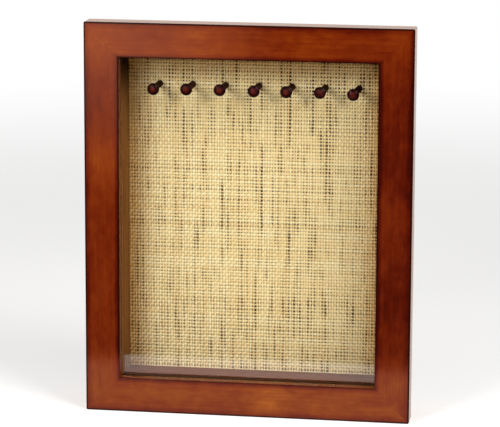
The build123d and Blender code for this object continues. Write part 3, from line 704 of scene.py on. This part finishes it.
# The felt pads and buffers: a disc's sides, the widths of the rings that shape its face as shares of its
# radius, its eased cut and the size of its fuzz.
DISC_SIDES = 40
FACE_RINGS = (0.18, 0.27, 0.36)
EASED_CUT = 0.7 * MM
FUZZ_SIZE = 1.1 * MM
TOLERANCE = 0.001 * MM

# From lying level to facing the front.
QUARTER_TURN = Matrix.Rotation(math.pi / 2, 3, "X")


def soft_discs(node, bulge, wobble):
    """Round pads where a CAD node has its discs: eased edges, a slightly crowned face and an uneven cut."""
    islands = {}
    for vertex in nodes[node].data.vertices:
        islands.setdefault((vertex.co.x > 0, vertex.co.z > middle_z), []).append(vertex.co.copy())
    shape = bmesh.new()
    for corners in islands.values():
        low = Vector([min(co[part] for co in corners) for part in range(3)])
        high = Vector([max(co[part] for co in corners) for part in range(3)])
        radius, depth, centre = (high.x - low.x) / 2, high.y - low.y, (low + high) / 2
        disc = bmesh.new()
        bmesh.ops.create_cone(disc, cap_ends=True, segments=DISC_SIDES, radius1=radius, radius2=radius,
                              depth=depth)
        caps = [f for f in disc.faces if len(f.verts) == DISC_SIDES]
        for share in FACE_RINGS:
            bmesh.ops.inset_region(disc, faces=caps, thickness=radius * share)
        rims = [e for e in disc.edges if all(abs(v.co.xy.length - radius) < TOLERANCE for v in e.verts)
                and abs(e.verts[0].co.z - e.verts[1].co.z) < TOLERANCE]
        bmesh.ops.bevel(disc, geom=rims, offset=min(depth * 0.3, EASED_CUT), segments=3, profile=0.5,
                        affect="EDGES", material=-1)
        for vertex in disc.verts:
            out = vertex.co.xy.length / radius
            vertex.co.z *= 1 - bulge * out ** 2
            fuzz = noise.noise((vertex.co + centre) / FUZZ_SIZE)
            vertex.co.x *= 1 - wobble * (1 + fuzz)
            vertex.co.y *= 1 - wobble * (1 + fuzz)
        bmesh.ops.rotate(disc, verts=disc.verts, cent=(0, 0, 0), matrix=QUARTER_TURN)
        bmesh.ops.translate(disc, verts=disc.verts, vec=centre)
        part = bpy.data.meshes.new("disc")
        disc.to_mesh(part)
        disc.free()
        shape.from_mesh(part)
        bpy.data.meshes.remove(part)
    bmesh.ops.recalc_face_normals(shape, faces=shape.faces)
    return shape


felt = wool_felt("pressed_wool_felt", "#241811", "#453126")
pads = new_piece("felt_wall_pads", soft_discs("wall_pads", bulge=0.12, wobble=0.02), felt, "case")
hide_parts("wall_pads")
buffers = new_piece("felt_door_buffers", soft_discs("door_buffers", bulge=0.2, wobble=0.01), felt,
                    "case")
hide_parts("door_buffers")


# ---- Stage: a pale table, a pale sweep behind it and a dark room that only reflections see ----
def stage_plane(name, low, high, material):
    """A rectangle between two corners, level or facing the front, which isn't part of the object."""
    low, high = Vector(low), Vector(high)
    shape = bmesh.new()
    bmesh.ops.create_grid(shape, x_segments=1, y_segments=1, size=0.5)
    if low.y == high.y:
        bmesh.ops.rotate(shape, verts=shape.verts, cent=(0, 0, 0), matrix=QUARTER_TURN)
    bmesh.ops.scale(shape, verts=shape.verts, vec=high - low)
    bmesh.ops.translate(shape, verts=shape.verts, vec=(low + high) / 2)
    plane = new_object(name, shape, material)
    return plane


def looked_at(tree):
    """1 for a ray from the camera or on from a mirror or a pane, and 0 for one that only gathers light."""
    ray = add(tree, "LightPath").outputs
    sent_on = add(tree, "Math", [ray["Is Glossy Ray"], ray["Is Transmission Ray"]], operation="MAXIMUM")
    return add(tree, "Math", [ray["Is Camera Ray"], sent_on], operation="MAXIMUM")


FLOOR_CLEARS = (0.5, 2.2)
FLOOR_LIFT = 0.37
FLOOR_REACH = 12
FLOOR_DROP = 0.2 * MM


def pale_floor():
    """White laminate that keeps the object's shadow and clears to white a little way off."""
    material, tree, output = new_material("white_laminate_floor")
    place = add(tree, "TexCoord").outputs["Object"]
    away = add(tree, "VectorMath", [place], operation="LENGTH").outputs["Value"]
    far = add(tree, "MapRange", [away, *FLOOR_CLEARS], **EASED)
    seen = looked_at(tree)
    matt = add(tree, "BsdfDiffuse", {"Color": linear("#F6F5F3")})
    strength = add(tree, "Math", [seen, FLOOR_LIFT], operation="MULTIPLY")
    lift = add(tree, "Emission", {"Color": linear("#FFFFFF"), "Strength": strength})
    near = add(tree, "AddShader", [matt, lift])
    white = add(tree, "Emission", {"Color": linear("#FFFFFF"), "Strength": 1.0})
    cleared = add(tree, "Math", [far, seen], operation="MULTIPLY")
    finish_material(tree, output, add(tree, "MixShader", [cleared, near, white]))
    return material


def black_cloth():
    """Black studio cloth: what the pane and the lacquer mirror in place of a dark room. A ray that has met
    no mirror on its way passes it by, so that nothing seen straight through the pane is black."""
    material, tree, output = new_material("black_studio_cloth")
    mirrors = add(tree, "LightPath").outputs["Glossy Depth"]
    mirrored = add(tree, "Math", [mirrors, 0.5], operation="GREATER_THAN")
    clear = add(tree, "BsdfTransparent")
    dull = add(tree, "BsdfDiffuse", {"Color": linear("#0A0908")})
    finish_material(tree, output, add(tree, "MixShader", [mirrored, clear, dull]))
    return material


TABLE_BEFORE_PANE = 0.1965
ROOM_DEPTH = 5.0
ROOM_HALF_WIDTH = 7.0
ROOM_HEIGHT = 7.0
CLOTH_LIFT = 0.4 * MM

stage_plane("floor", (-FLOOR_REACH, -FLOOR_REACH, -FLOOR_DROP), (FLOOR_REACH, FLOOR_REACH, -FLOOR_DROP),
            pale_floor())
dark = black_cloth()
room_edge = pane_front - TABLE_BEFORE_PANE
room_floor = stage_plane("dark_room_floor", (-ROOM_HALF_WIDTH, -ROOM_DEPTH, CLOTH_LIFT),
                         (ROOM_HALF_WIDTH, room_edge, CLOTH_LIFT), dark)
room_wall = stage_plane("dark_room_wall", (-ROOM_HALF_WIDTH, -ROOM_DEPTH, 0),
                        (ROOM_HALF_WIDTH, -ROOM_DEPTH, ROOM_HEIGHT), dark)
for cloth in (room_floor, room_wall):
    cloth.visible_camera = False
    cloth.visible_diffuse = False
    cloth.visible_shadow = False
    cloth.visible_volume_scatter = False


# ---- Lights ----
def softbox(name, azimuth, elevation, distance, size, power):
    """A square area lamp that faces the middle of the front from a distance; azimuth turns to the right."""
    turn, rise = math.radians(azimuth), math.radians(elevation)
    middle = Vector((0, 0, middle_z))
    away = Vector((math.sin(turn) * math.cos(rise), -math.cos(turn) * math.cos(rise), math.sin(rise)))
    data = bpy.data.lights.new(name, "AREA")
    data.shape = "SQUARE"
    data.size = size
    data.energy = power
    lamp = bpy.data.objects.new(name, data)
    aim = (-away).to_track_quat("-Z", "Y")
    lamp.matrix_world = Matrix.Translation(middle + distance * away) @ aim.to_matrix().to_4x4()
    bpy.context.scene.collection.objects.link(lamp)
    lamp.visible_camera = False


softbox("left_softbox", azimuth=-24, elevation=22, distance=1.5, size=0.45, power=9.4)
softbox("left_umbrella", azimuth=-47, elevation=33, distance=1.7, size=1.0, power=7.6)
softbox("right_softbox", azimuth=50, elevation=40, distance=1.7, size=0.9, power=20.0)

WORLD_LIGHT = 0.20
world = bpy.data.worlds.new("white_studio")
world.use_nodes = True
bpy.context.scene.world = world
sky = world.node_tree
sky.nodes.clear()
white_if_seen = add(sky, "MapRange", [looked_at(sky), 0, 1, WORLD_LIGHT, 1.0], **EASED)
background = add(sky, "Background", {"Color": linear("#FFFFFF"), "Strength": white_if_seen})
add(sky, "OutputWorld", [background])
